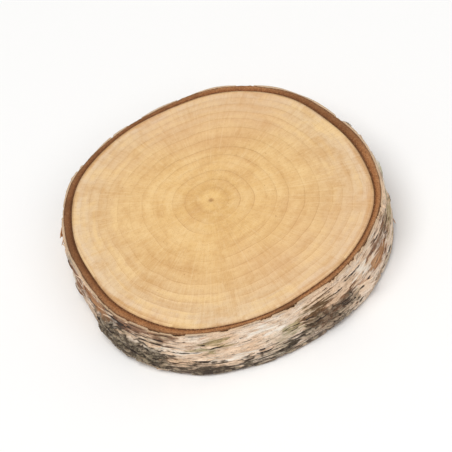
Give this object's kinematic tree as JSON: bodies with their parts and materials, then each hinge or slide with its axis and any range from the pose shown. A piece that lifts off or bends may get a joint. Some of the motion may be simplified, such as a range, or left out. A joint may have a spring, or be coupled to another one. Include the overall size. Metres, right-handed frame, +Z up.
{
  "type": "birch wood slice",
  "caption": "Flat round slice sawn straight across a birch trunk, with the papery bark still on its rim, for crafts, place settings or as a small stand.",
  "frame": {"origin": "on the surface that the slice lies on, under the middle of its bounding box", "axes": "+Z up along the trunk's axis, out of the upper sawn face; -Y towards the side of the bark that the picture shows; +X to the right"},
  "size_m": [0.0522, 0.0525, 0.01],
  "materials": {
    "wood": "matte",
    "bark": "matte"
  },
  "bodies": {
    "root": {"birch_slice": "wood"}
  },
  "joints": []
}
